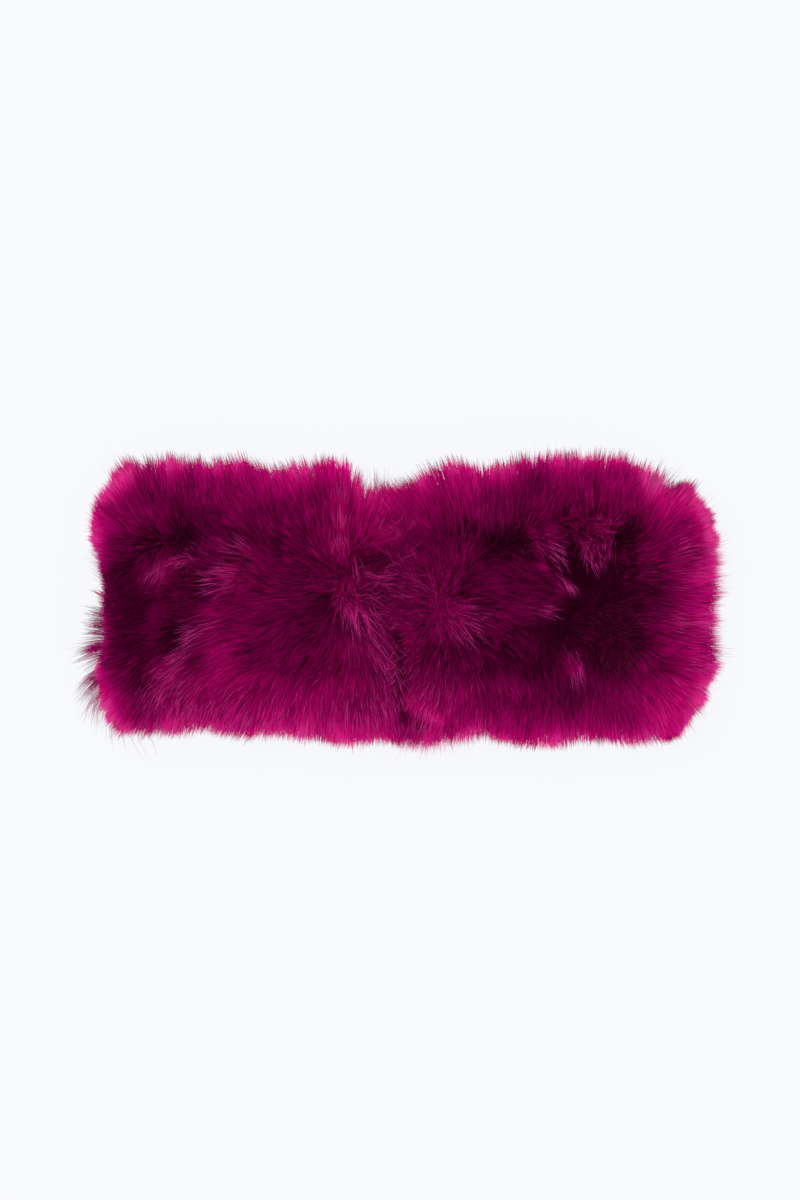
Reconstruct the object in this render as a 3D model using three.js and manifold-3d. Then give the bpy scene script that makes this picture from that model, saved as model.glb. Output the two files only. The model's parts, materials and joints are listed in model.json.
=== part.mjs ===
// Faux fur headband, lying flat on a surface as a collapsed loop.
// Units are millimetres. +X runs along the band, +Y across it and +Z up from the surface that it lies on.
// The front of the band faces up. Two panels of long-pile fur make the loop: each is half of it, and they
// meet at one seam in the middle of the front and one in the middle of the underside. A panel is a knitted
// backing with dense fur on it. The long fibres stand out of that in locks, side by side in strips: strips
// along the band fan out over its two edges, and strips across it lie one over the other, as the nap runs.
import * as THREE from "three";
import { mergeVertices } from "three/addons/utils/BufferGeometryUtils.js";
import Module from "manifold-3d";

const wasm = await Module();
wasm.setup();

// ---- Driving dimensions ----
const FOLD_X = 103; // from the middle of the band to the centre line of each end fold
const HOLLOW = 14; // clear height between the upper and the lower wall, where the head goes
const BACKING = 2; // knitted backing, with its turned edges
const PILE = 22; // long fibres, from the backing to their tips
const REST_Z = 20; // height of the folds' centre lines above the surface
const SEAM_X = -1; // the panels' seam, beside the middle of the band
const SEAM_GAP = 0.4; // gap between the panels along a seam

const FOLD_R = HOLLOW / 2 + BACKING; // outer face of the backing round a fold
const RUN = 2 * FOLD_X;
const TURN = Math.PI * FOLD_R;
const LOOP = 2 * (RUN + TURN); // once round the outer face of the backing

// How far the fibre tips reach across the band, on the +Y side and on the -Y side.
const EDGES = [
  { x: -114, upper: 50, lower: 48 },
  { x: -98, upper: 57.5, lower: 54.5 },
  { x: -64, upper: 59, lower: 54.5 },
  { x: -28, upper: 59, lower: 57 },
  { x: -5, upper: 51, lower: 58.5 },
  { x: 18, upper: 58, lower: 58.5 },
  { x: 65, upper: 60.5, lower: 57.5 },
  { x: 95, upper: 59, lower: 57.5 },
  { x: 114, upper: 46, lower: 48 },
];

// Where each panel's nap parts: the fibres lie away from there, as steeply as lean says.
const PARTINGS = {
  left: { x: -22, y: 4, lean: 1.3 },
  right: { x: 15, y: -5, lean: 1.2 },
};
const PARTED = 10; // how far from a parting the fibres lie fully over

// Hollows that are pressed into the front's pile, and the valley along the front seam.
const DENTS = [
  { x: -85, y: 24, width: 9, depth: 7 },
  { x: -100, y: -4, width: 17, depth: 4 },
  { x: -22, y: 4, width: 8, depth: 4 },
  { x: 45, y: 24, width: 11, depth: 7 },
  { x: 82, y: -6, width: 15, depth: 9 },
];
const VALLEY = { width: 6, depth: 4 };

// How deep the dense fur under the locks is on the front, round the folds and underneath, and how far it
// stands out past the backing's edges.
const UNDERFUR = { front: 7, fold: 13, under: 12, edge: 11 };

// Strips along the band, near each edge of the backing: their place as a share of the backing's half
// width, and the angle by which they fan out over the edge.
const EDGE_STRIPS = [
  { share: 0.88, fan: 42 },
  { share: 0.96, fan: 66 },
  { share: 1.0, fan: 87 },
];
const UNDER_STRIP = { share: 0.96, fan: 76 };
const EDGE_REACH = 0.9; // how far the edge fibres reach past the backing, as a share of their length

// A lock's width along its strip, its thickness, the notch between two locks as a share of their length,
// and the notch's thickness as a share of a lock's.
const LOCK = { width: 12, thick: 8, notch: 0.78, thin: 0.4 };
const CROSS = { locks: 5, share: 0.82, fan: 34 }; // a strip across the band, as EDGE_STRIPS gives the others
const STEP = { front: 12.5, fold: 7.5 }; // from one strip across the band to the next
const BULGE = 0.12; // how far such a strip runs ahead in its middle, as a share of its way from the parting

const mix = (a, b, t) => a + (b - a) * t;
const smooth = (t) => t * t * (3 - 2 * t);
const clamp = THREE.MathUtils.clamp;

// A number from 0 to 1 that looks random but is the same each time.
function scatter(index, channel) {
  const wave = Math.sin(index * 127.1 + channel * 311.7) * 43758.5453;
  return wave - Math.floor(wave);
}

// ---- The band as a surface ----

// Tip reach across the band at x, on one side.
function edgeAt(x, side) {
  const next = EDGES.find((row) => row.x > x) ?? EDGES.at(-1);
  const before = EDGES.findLast((row) => row.x <= x && row !== next) ?? EDGES[0];
  const t = clamp((x - before.x) / Math.max(next.x - before.x, 1), 0, 1);
  return mix(before[side], next[side], smooth(t));
}

// Where the backing's edges lie at x.
const backingTop = (x) => edgeAt(x, "upper") - PILE * EDGE_REACH;
const backingBottom = (x) => PILE * EDGE_REACH - edgeAt(x, "lower");

// A place s millimetres round the backing's outer face, from x = 0 on the front towards +X.
function loopAt(s) {
  const at = ((s % LOOP) + LOOP) % LOOP;
  if (at <= FOLD_X || at >= LOOP - FOLD_X) {
    const x = at <= FOLD_X ? at : at - LOOP;
    return { x, z: REST_Z + FOLD_R, angle: 0, part: "front" };
  }
  if (at < FOLD_X + TURN) {
    const angle = (at - FOLD_X) / FOLD_R;
    return { x: FOLD_X + FOLD_R * Math.sin(angle), z: REST_Z + FOLD_R * Math.cos(angle), angle, part: "fold" };
  }
  if (at <= FOLD_X + TURN + RUN) {
    return { x: FOLD_X - (at - FOLD_X - TURN), z: REST_Z - FOLD_R, angle: Math.PI, part: "under" };
  }
  const angle = Math.PI + (at - FOLD_X - TURN - RUN) / FOLD_R;
  return { x: -FOLD_X + FOLD_R * Math.sin(angle), z: REST_Z + FOLD_R * Math.cos(angle), angle, part: "fold" };
}

const outward = (place) => new THREE.Vector3(Math.sin(place.angle), 0, Math.cos(place.angle));
const along = (place) => new THREE.Vector3(Math.cos(place.angle), 0, -Math.sin(place.angle));
const ACROSS = new THREE.Vector3(0, 1, 0);

// How much of the front's form a place takes: all on the front, none underneath, fading round a fold.
const frontShare = (place) => smooth(clamp(0.5 + Math.cos(place.angle) / 1.2, 0, 1));

// How deep the pile is pressed in at a place of the front.
function pressed(x, y) {
  const valley = VALLEY.depth * Math.exp(-(((x - SEAM_X) / VALLEY.width) ** 2));
  return DENTS.reduce(
    (sum, dent) => sum + dent.depth * Math.exp(-((x - dent.x) ** 2 + (y - dent.y) ** 2) / dent.width ** 2),
    valley,
  );
}

// How the nap leans at a place of the front, along x and y. Zero is upright and 1 leans at 45 degrees.
function napAt(x, y) {
  const parting = x < SEAM_X ? PARTINGS.left : PARTINGS.right;
  const away = new THREE.Vector2(x - parting.x, y - parting.y);
  return away.multiplyScalar(parting.lean / Math.max(away.length(), PARTED));
}

// ---- Solids ----

function solidOf(geometry) {
  const bare = new THREE.BufferGeometry();
  bare.setAttribute("position", geometry.getAttribute("position"));
  if (geometry.index) bare.setIndex(geometry.index);
  const merged = mergeVertices(bare, 1e-4);
  return new wasm.Manifold(
    new wasm.Mesh({
      numProp: 3,
      vertProperties: new Float32Array(merged.getAttribute("position").array),
      triVerts: new Uint32Array(merged.index.array),
    }),
  );
}

function geometryOf(solid) {
  const mesh = solid.getMesh();
  const geometry = new THREE.BufferGeometry();
  geometry.setAttribute("position", new THREE.BufferAttribute(new Float32Array(mesh.vertProperties), 3));
  geometry.setIndex(new THREE.BufferAttribute(new Uint32Array(mesh.triVerts), 1));
  geometry.computeVertexNormals();
  return geometry;
}

// Joins rings of points, one after another, into a closed body with a fan over each end. The points of a
// ring run anticlockwise, seen against the way that the rings follow each other.
function loft(rings) {
  const size = rings[0].length;
  const points = rings.flat();
  const centre = (ring) => ring.reduce((sum, p) => sum.add(p), new THREE.Vector3()).divideScalar(size);
  points.push(centre(rings[0]), centre(rings.at(-1)));
  const [first, last] = [points.length - 2, points.length - 1];
  const faces = [];
  for (let k = 0; k < size; k++) {
    const next = (k + 1) % size;
    for (let r = 0; r + 1 < rings.length; r++) {
      const [a, b] = [r * size + k, r * size + next];
      faces.push(a, b, a + size, b, b + size, a + size);
    }
    faces.push(first, next, k);
    faces.push(last, (rings.length - 1) * size + k, (rings.length - 1) * size + next);
  }
  const geometry = new THREE.BufferGeometry().setFromPoints(points);
  geometry.setIndex(faces);
  return geometry;
}

// The outline of a panel's dense fur and backing at one place round the loop: flat inside, rounded outside.
function underfurRing(s) {
  const place = loopAt(s);
  const [top, bottom] = [backingTop(place.x), backingBottom(place.x)];
  const deep = (y) => {
    const front = UNDERFUR.front - 0.5 * pressed(place.x, y);
    return mix(mix(UNDERFUR.under, front, frontShare(place)), UNDERFUR.fold, Math.abs(Math.sin(place.angle)));
  };
  const origin = new THREE.Vector3(place.x, 0, place.z);
  const point = (y, depth) => origin.clone().addScaledVector(ACROSS, y).addScaledVector(outward(place), depth);
  const rim = (edge, fan) => {
    const turn = THREE.MathUtils.degToRad(fan);
    return point(edge + UNDERFUR.edge * Math.sin(turn), deep(edge) * Math.cos(turn));
  };
  return [
    point(bottom, -BACKING),
    point(top, -BACKING),
    ...[90, 45].map((fan) => rim(top, fan)),
    ...[0.9, 0.65, 0.35, 0.1].map((t) => point(mix(bottom, top, t), deep(mix(bottom, top, t)))),
    ...[-45, -90].map((fan) => rim(bottom, fan)),
  ];
}

// Which way the fibres run at a place: fanned out across the band, and laid over by a share of the nap.
function fibreWay(place, y, fan, share) {
  const turn = THREE.MathUtils.degToRad(fan);
  const nap = napAt(place.x, y).multiplyScalar(share * (place.part === "front" ? 1 : 0.35 * frontShare(place)));
  return outward(place)
    .multiplyScalar(Math.cos(turn))
    .addScaledVector(along(place), nap.x)
    .addScaledVector(ACROSS, Math.sin(turn) + nap.y * Math.cos(turn))
    .normalize();
}

// One strip of locks. route(t) gives its place round the loop, its y and its fan at t from 0 to 1.
function strip(count, seed, route) {
  const stations = [];
  for (let i = 0; i <= 2 * count; i++) {
    const index = seed * 61 + i;
    const isLock = i % 2 === 1;
    const t = clamp((i + 0.5 * (scatter(index, 1) - 0.5)) / (2 * count), 0, 1);
    const { s, y, fan } = route(t);
    const place = loopAt(s);
    const root = new THREE.Vector3(place.x, y, place.z).addScaledVector(outward(place), -0.5);
    const dent = frontShare(place) * Math.cos(THREE.MathUtils.degToRad(fan)) * pressed(place.x, y);
    const length = (PILE * mix(0.9, 1, scatter(index, 2)) - dent) * (isLock ? 1 : LOCK.notch);
    const thick = LOCK.thick * (isLock ? 1 : LOCK.thin);
    const middle = fibreWay(place, y, fan, 0.7).multiplyScalar(0.5 * length).add(root);
    const tip = fibreWay(place, y, fan, 1.4).multiplyScalar(0.5 * length).add(middle);
    stations.push({ root, middle, tip, thick });
  }
  const rings = stations.map(({ root, middle, tip, thick }, i) => {
    const travel = stations[Math.min(i + 1, 2 * count)].root.clone().sub(stations[Math.max(i - 1, 0)].root);
    const lift = tip.clone().sub(root).cross(travel).setLength(thick / 2);
    return [root, middle.clone().add(lift), tip, middle.clone().sub(lift)];
  });
  return solidOf(loft(rings));
}

// The room between the walls, run out past both mouths so that no lock reaches across the way in.
function hollow() {
  const slot = new THREE.Shape();
  slot.absarc(FOLD_X, 0, HOLLOW / 2, -Math.PI / 2, Math.PI / 2);
  slot.absarc(-FOLD_X, 0, HOLLOW / 2, Math.PI / 2, 1.5 * Math.PI);
  const depth = 200;
  const shape = new THREE.ExtrudeGeometry(slot, { depth, bevelEnabled: false, curveSegments: 6 });
  shape.translate(0, 0, -depth / 2);
  shape.rotateX(Math.PI / 2);
  shape.translate(0, 0, REST_Z);
  return solidOf(shape);
}

// One panel, from the front seam round a fold to the seam underneath. side is 1 for +X and -1 for -X, and
// distances round the loop are counted towards that side.
function panel(side) {
  const parting = side > 0 ? PARTINGS.right : PARTINGS.left;
  const stops = [side * SEAM_X, FOLD_X, FOLD_X + TURN, LOOP / 2 - side * SEAM_X];
  const rings = [];
  [10, 6, 2].forEach((count, i) => {
    for (let k = 0; k < count; k++) rings.push(underfurRing(side * mix(stops[i], stops[i + 1], k / count)));
  });
  rings.push(underfurRing(side * stops[3]));
  if (side < 0) rings.reverse();
  const pieces = [solidOf(loft(rings))];

  // Strips over the two edges, along the front and round the fold, and along the underside.
  const edgeY = (x, half, share) => share * (half > 0 ? backingTop(x) : backingBottom(x));
  const edgeStrip = (from, to, half, row, seed) => {
    const count = Math.round((to - from) / LOCK.width);
    return strip(count, seed, (t) => {
      const s = side * mix(from, to, t);
      return { s, y: edgeY(loopAt(s).x, half, row.share), fan: half * row.fan };
    });
  };
  for (const half of [1, -1]) {
    EDGE_STRIPS.forEach((row, i) => pieces.push(edgeStrip(stops[0], stops[2], half, row, 10 + 4 * i + half)));
    pieces.push(edgeStrip(stops[2], stops[3], half, UNDER_STRIP, 30 + half));
  }

  // Strips across the band, from the parting over the front and the fold, and from it back to the seam.
  const crossStrip = (from, seed) => {
    const bulge = from < FOLD_X ? BULGE * (from - side * parting.x) : 0;
    return strip(CROSS.locks, seed, (t) => {
      const across = 2 * t - 1;
      const s = side * (from - bulge * across ** 2);
      const y = edgeY(loopAt(s).x, Math.sign(across), CROSS.share * Math.abs(across));
      return { s, y, fan: CROSS.fan * across ** 3 };
    });
  };
  const places = [side * parting.x - 0.75 * STEP.front];
  for (let at = side * parting.x + 0.3 * STEP.front; at < FOLD_X; at += STEP.front) places.push(at);
  for (let at = FOLD_X + 0.4 * STEP.fold; at < FOLD_X + TURN; at += STEP.fold) places.push(at);
  places.forEach((from, i) => pieces.push(crossStrip(from, 50 + 3 * i + side)));

  return wasm.Manifold.union(pieces)
    .subtract(hollow())
    .trimByPlane([0, 0, 1], 0)
    .trimByPlane([side, 0, 0], side * SEAM_X + SEAM_GAP / 2);
}

// ---- The headband ----
const fur = new THREE.MeshStandardMaterial({ color: 0x8a0052, roughness: 0.7, metalness: 0 });
const headband = new THREE.Group();
for (const [name, side] of [["left_fur_panel", -1], ["right_fur_panel", 1]]) {
  const mesh = new THREE.Mesh(geometryOf(panel(side)), fur.clone());
  mesh.name = name;
  headband.add(mesh);
}
export default headband;
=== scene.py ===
"""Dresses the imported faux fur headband: knitted backing, dense underfur, long pile and a plain stage.

The band lies flat as a collapsed loop. A place on it is given by s, the way round the backing's outer face
from the middle of the front towards +X, and by c, the way across it, which runs on round the turned edges.
"""

import json
import math

import bmesh
import bpy
import numpy as np
from bpy.props import FloatProperty, FloatVectorProperty, IntProperty, PointerProperty
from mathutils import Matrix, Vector


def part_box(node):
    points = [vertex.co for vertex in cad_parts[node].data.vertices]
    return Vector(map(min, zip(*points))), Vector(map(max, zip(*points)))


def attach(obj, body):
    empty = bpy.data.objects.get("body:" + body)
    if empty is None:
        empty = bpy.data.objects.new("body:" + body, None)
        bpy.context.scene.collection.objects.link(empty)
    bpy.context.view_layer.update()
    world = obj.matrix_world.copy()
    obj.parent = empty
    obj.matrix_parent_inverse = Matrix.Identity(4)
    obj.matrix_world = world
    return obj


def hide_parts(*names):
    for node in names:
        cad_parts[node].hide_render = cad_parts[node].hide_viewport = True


bl_info = {
    "name": "Faux Fur Headband",
    "version": (1, 0, 0),
    "blender": (4, 5, 0),
    "location": "View3D > Sidebar > Headband",
    "description": "Backing, underfur and long pile of a faux fur headband, around its packed model",
    "category": "Add Mesh",
}

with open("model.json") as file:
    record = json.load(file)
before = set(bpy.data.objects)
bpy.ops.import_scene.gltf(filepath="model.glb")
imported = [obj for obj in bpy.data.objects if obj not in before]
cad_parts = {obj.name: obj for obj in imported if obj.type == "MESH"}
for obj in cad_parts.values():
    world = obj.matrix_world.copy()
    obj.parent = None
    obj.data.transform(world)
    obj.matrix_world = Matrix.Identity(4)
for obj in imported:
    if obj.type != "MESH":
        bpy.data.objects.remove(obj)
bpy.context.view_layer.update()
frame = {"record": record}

MM = 0.001
TINY = 1e-9
BODY = "root"
PANELS = {"left": "left_fur_panel", "right": "right_fur_panel"}
SIDE = {"left": -1.0, "right": 1.0}

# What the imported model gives: the clear hollow between the walls, and the seam between the panels.
HOLLOW_LOW, HOLLOW_HIGH = (np.array(p) for p in frame["record"]["physics"]["openings"][0]["box_m"])
HOLLOW_CLEARANCE = 0.3 * MM  # between the hollow's box and the walls
MID_Z = (HOLLOW_LOW[2] + HOLLOW_HIGH[2]) / 2
HOLLOW_R = (HOLLOW_HIGH[2] - HOLLOW_LOW[2]) / 2 + HOLLOW_CLEARANCE
FOLD_X = HOLLOW_HIGH[0] + 1.0 * MM
SEAM_X = (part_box(PANELS["left"])[1].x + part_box(PANELS["right"])[0].x) / 2

# How far the pile's tips reach across the band, upwards and downwards from its middle line, in millimetres.
EDGES = np.array([
    # x, upper, lower
    (-126, 41, 34),
    (-118, 46, 45.5),
    (-112, 49.5, 53),
    (-104, 57.5, 55.5),
    (-96, 57, 55.5),
    (-84, 57.3, 55),
    (-76, 56.2, 54),
    (-66, 58, 55.5),
    (-56, 57.7, 57.2),
    (-46, 53.8, 55.3),
    (-40, 56.3, 56.7),
    (-31, 58.8, 58.2),
    (-24, 57.5, 58.4),
    (-21, 56.8, 60),
    (-17, 46.3, 59.5),
    (-8, 48.5, 58.3),
    (0, 47.5, 60),
    (8, 51.2, 61.5),
    (17, 54.5, 61.5),
    (25, 58, 58),
    (33, 54.3, 55.8),
    (41, 54, 57.8),
    (51, 58, 60.6),
    (57, 59.6, 60.4),
    (73, 58.4, 57.1),
    (88, 58.2, 59.4),
    (98, 53.7, 59.4),
    (101, 50, 59.4),
    (104, 47.5, 58.3),
    (108, 50.3, 59.2),
    (114, 49.6, 56.8),
    (122, 37, 36),
    (130, 10, 32),
])

# How far the tips reach along the band at each end, in millimetres.
ENDS = np.array([
    # y, left, right
    (-56, 116, 119),
    (-48, 120.5, 118.5),
    (-38, 126.5, 123),
    (-28, 124, 131),
    (-20, 122.5, 135.5),
    (-8, 122, 131.5),
    (2, 123, 136),
    (16, 124.5, 134),
    (28, 128.5, 128.5),
    (40, 128, 123.5),
    (48, 124, 119),
    (56, 106, 108),
])

# How the nap lies on the front: at a place in millimetres it runs towards (dx, dy), and leans so many degrees
# from upright.
FLOW = np.array([
    # x, y, dx, dy, lean
    # left panel, upper rim and upper left corner
    (-114, 42, -0.6, 0.8, 72),
    (-116, 27, -0.75, 0.65, 66),
    (-103, 38, -0.35, 0.95, 62),
    (-88, 38, -0.15, 1.0, 62),
    (-70, 38, -0.3, 0.95, 62),
    (-54, 36, -0.45, 0.9, 62),
    (-40, 34, -0.3, 0.95, 60),
    (-26, 36, -0.05, 1.0, 60),
    (-8, 40, 0.6, 0.8, 62),
    (-8, 27, 0.75, 0.65, 48),
    (-20, 44, 0.0, 1.0, 60),
    # left panel, middle
    (-112, 12, -1.0, 0.15, 52),
    (-98, 14, -0.3, -0.9, 45),
    (-78, 14, -0.6, 0.55, 44),
    (-71, 8, -0.85, -0.45, 48),
    (-62, 20, -0.5, 0.85, 48),
    (-52, 26, -0.5, 0.85, 48),
    (-56, 10, -1.0, 0.1, 51),
    (-52, 14, -0.75, 0.6, 50),
    (-40, 10, -0.95, 0.3, 51),
    (-32, 16, -0.6, 0.8, 48),
    (-22, 4, 0.1, -0.3, 25),
    (-23, 22, 0.0, 1.0, 40),
    (-14, 6, 1.0, 0.15, 44),
    (-8, -2, 0.9, -0.4, 50),
    (-36, 0, -1.0, -0.1, 51),
    (-50, -4, -1.0, -0.2, 53),
    (-64, -6, -1.0, -0.25, 53),
    (-80, -8, -0.95, -0.2, 50),
    (-96, -6, -1.0, -0.1, 42),
    (-112, -12, -1.0, 0.0, 52),
    # left panel, lower part and lower rim
    (-30, -14, -0.35, -0.95, 51),
    (-14, -14, 0.45, -0.9, 51),
    (-44, -20, -0.75, -0.7, 53),
    (-62, -22, -0.8, -0.6, 53),
    (-80, -24, -0.75, -0.65, 51),
    (-96, -26, -0.6, -0.75, 48),
    (-112, -36, -0.75, -0.65, 60),
    (-96, -38, -0.25, -1.0, 62),
    (-70, -38, -0.3, -0.95, 64),
    (-44, -38, -0.2, -1.0, 64),
    (-20, -38, 0.0, -1.0, 64),
    (-6, -30, 0.25, -0.95, 51),
    # right panel, left part
    (8, 38, -0.6, 0.8, 60),
    (7, 26, -0.7, 0.7, 48),
    (6, 12, -0.75, 0.65, 48),
    (5, -2, -1.0, 0.1, 48),
    (6, -16, -0.75, -0.65, 50),
    (8, -34, -0.55, -0.85, 62),
    (8, -46, -0.45, -0.9, 62),
    (15, -5, 0.3, -0.2, 25),
    (18, 12, -0.3, 0.9, 42),
    (18, -18, 0.1, -1.0, 48),
    # right panel, between its parting and the deep hollow
    (26, -2, 1.0, 0.0, 48),
    (40, 2, 1.0, -0.05, 50),
    (54, 2, 1.0, -0.1, 50),
    (64, -2, 0.95, -0.3, 50),
    (64, 14, 0.5, -0.85, 44),
    (34, -18, 0.45, -0.9, 50),
    (56, -20, 0.25, -0.95, 50),
    # right panel, upper rim
    (24, 38, -0.15, 1.0, 60),
    (42, 38, 0.0, 1.0, 62),
    (60, 38, 0.0, 1.0, 62),
    (80, 38, 0.05, 1.0, 62),
    (98, 36, 0.35, 0.9, 62),
    (60, 22, 0.5, -0.7, 45),
    (76, 20, -0.2, -0.9, 45),
    # right panel, right end
    (102, 22, 0.85, 0.5, 48),
    (112, 8, 1.0, 0.1, 57),
    (100, -2, 1.0, 0.0, 50),
    (112, -16, 1.0, -0.15, 57),
    (102, -24, 0.75, -0.65, 48),
    # right panel, lower rim
    (98, -40, 0.4, -0.9, 62),
    (80, -38, 0.1, -1.0, 64),
    (60, -40, 0.0, -1.0, 64),
    (40, -38, -0.05, -1.0, 64),
    (24, -38, -0.1, -1.0, 64),
])

# Hollows where the pile is pressed down and parts, in millimetres. Each makes the pile shorter by a share,
# paints shade into it by a share, and opens it by so many degrees away from its middle.
DENTS = np.array([
    # x, y, width, shorter, opens, darker
    (-86, 25, 5, 0.6, 35, 0.45),
    (-98, 22, 7, 0.3, 10, 0.2),
    (-112, 2, 12, 0.3, 6, 0.15),
    (-110, -18, 12, 0.2, 6, 0.15),
    (-53, 22, 7, 0.15, 0, 0.1),
    (40, 22, 8, 0.5, 22, 0.25),
    (47, 24, 5, 0.4, 15, 0.35),
    (91, 25, 6, 0.35, 12, 0.25),
    (90, 12, 7, 0.3, 8, 0.2),
    (81, -3, 10, 0.7, 20, 0.46),
    (72, -13, 9, 0.65, 22, 0.35),
    (84, -16, 10, 0.65, 20, 0.4),
])

# Creases where two lays of the pile meet, in millimetres: from one point to another. Along each the pile is
# shorter, and darker by a painted shadow.
CREASES = np.array([
    # x, y, x, y, width, darker, shorter
    (-1, -14, 0, -34, 1.6, 0.5, 0.35),
    (0, -34, 1, -48, 2.0, 0.34, 0.3),
    (1, -48, 10, -51, 1.4, 0.2, 0.1),
    (10, -51, 26, -52, 1.3, 0.2, 0.05),
    (-48, 32, -48, 18, 1.8, 0.2, 0.2),
    (-66, 26, -67, 16, 2.2, 0.25, 0.2),
    (50, 26, 61, 4, 2.2, 0.25, 0.3),
    (69, 5, 60, -16, 2.5, 0.25, 0.4),
    (93, 32, 94, 4, 2.2, 0.3, 0.3),
])

# Crests where the tips of the pile come together and catch the light, in millimetres: each gets a painted
# highlight.
CREST_HIGHLIGHTS = np.array([
    # x, y, x, y, width, lighter
    (-24, 40, -23, 22, 1.8, 0.15),
    (-23, 22, -21, 3, 1.8, 0.25),
    (-14, -12, -9, -26, 5.0, 0.05),
    (-45.5, 31, -45, 16, 1.4, 0.3),
    (-62.5, 24, -62, 15, 1.6, 0.25),
    (-66, 13, -72, 4, 3.0, 0.15),
    (-75, -4, -79, -16, 3.0, 0.15),
    (52, 28, 57, 13, 1.8, 0.35),
    (57, 13, 66, 2, 1.8, 0.25),
    (70, 28, 76, 18, 2.2, 0.35),
    (15.5, 13, 15, -5, 2.0, 0.2),
    (2, -40, 16, -50, 2.5, 0.3),
])

# Whorls that the nap runs out from, where the lower halves of its hairs show, in millimetres. Painted light
# makes those halves lighter.
WHORLS = np.array([
    # x, y, width, lighter
    (-21, 3, 6, 0.88),
    (-17, 8, 3, 0.8),
    (15, -5, 6, 0.58),
])

# Wisps of hairs that lie over the pile, in millimetres: from one point to another. A tone above 0.65 gives
# them painted sheen.
WISPS = np.array([
    # x, y, x, y, spread, hairs, tone
    (-23, 11, -23, 2, 2.0, 40, 0.48),
    (-19, 11, -19, 2, 2.0, 40, 0.5),
    (-21, 5, -25, -5, 2.5, 40, 0.4),
    (-20, 5, -17, -6, 2.5, 40, 0.42),
    (-22, 10, -22, 20, 2.0, 40, 0.48),
    (-17, 8, -9, 8, 2.0, 30, 0.52),
    (-24, 6, -32, 5, 2.5, 40, 0.42),
    (15, 7, 16, -5, 3.0, 90, 0.42),
    (15, -3, 5, -3, 3.0, 80, 0.42),
    (15, -4, 27, -6, 3.0, 90, 0.46),
    (15, -3, 14, -15, 3.0, 90, 0.44),
    (16, 0, 21, 10, 3.0, 80, 0.4),
    (14, 0, 9, 10, 3.0, 60, 0.4),
    (16, -5, 24, -15, 3.0, 60, 0.44),
    (-24, 22, -23, 40, 1.6, 16, 0.85),
    (-24, 32, -25, 18, 1.6, 12, 0.85),
    (-19, 23, -16, 7, 0.8, 8, 0.8),
    (-21, 4, -24, -12, 1.5, 12, 0.85),
    (-20, 4, -18, -14, 1.5, 20, 0.92),
    (-20, 4, -11, -12, 2.0, 22, 0.92),
    (-18, 2, -6, -18, 2.5, 16, 0.88),
    (-15, -4, -7, -22, 3.0, 10, 0.8),
    (-16, 7, -2, 8, 1.4, 12, 0.85),
    (-18, 5, -6, 0, 1.6, 8, 0.8),
    (15, 14, 14, -4, 0.8, 4, 0.75),
    (16, -3, 30, -5, 2.2, 12, 0.8),
    (16, -5, 27, -17, 2.2, 12, 0.8),
    (1, 28, 6, 14, 1.2, 5, 0.75),
    (53, 27, 58, 14, 0.9, 4, 0.75),
    (58, 14, 66, 2, 1.0, 4, 0.75),
    (70, 28, 76, 18, 1.2, 8, 0.8),
    (78, 32, 78, 24, 3.5, 80, 0.4),
    (72, 30, 84, 29, 2.0, 70, 0.4),
])

# Tufts that are brushed against the nap and given painted sheen, in millimetres: light tones for the light
# they catch.
GLEAMS = np.array([
    # x, y, width, strength
    (-95.5, 16, 3.5, 0.8),
    (-85, 16.5, 4, 0.7),
    (-65, 11, 3, 0.9),
    (-70, 7, 3, 0.9),
    (-60, 18, 2.5, 0.6),
    (-78, -11, 4, 1.0),
    (-84, -20, 4, 0.6),
    (-93, -34, 7, 1.2),
    (-86, -42, 8, 0.95),
    (-72, -42, 8, 0.7),
    (-58, -46, 8, 0.6),
    (-42, -48, 8, 0.6),
    (-26, -50, 8, 0.6),
    (-12, -44, 7, 0.7),
    (-4, -24, 14, 0.2),
    (10, -34, 14, 0.3),
    (-2, 4, 12, 0.2),
    (-24, 32, 2.5, 0.8),
    (-24, 24, 2, 0.8),
    (-17, 11, 2, 0.6),
    (-21, 2, 4, 0.8),
    (-16, -8, 5, 0.35),
    (-12, 7, 3, 0.5),
    (-9, -18, 5, 0.4),
    (-5, -28, 4, 0.3),
    (-8, 34, 5, 0.5),
    (-2, 26, 4, 0.5),
    (59, 22, 3.5, 0.8),
    (64, 12, 3, 0.8),
    (76, 21, 3.5, 1.0),
    (83, 27, 3.5, 1.0),
    (112, 20, 4, 0.7),
    (110, -9, 4, 0.8),
    (118, 14, 7, 0.7),
    (119, -10, 7, 0.6),
    (117, -28, 6, 0.6),
    (70, -24, 2.8, 1.1),
    (52, -3, 3, 0.4),
    (11, -46, 7, 0.7),
    (30, -49, 3, 0.9),
    (24, -8, 6, 0.6),
    (12, 2, 5, 0.4),
])
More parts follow.
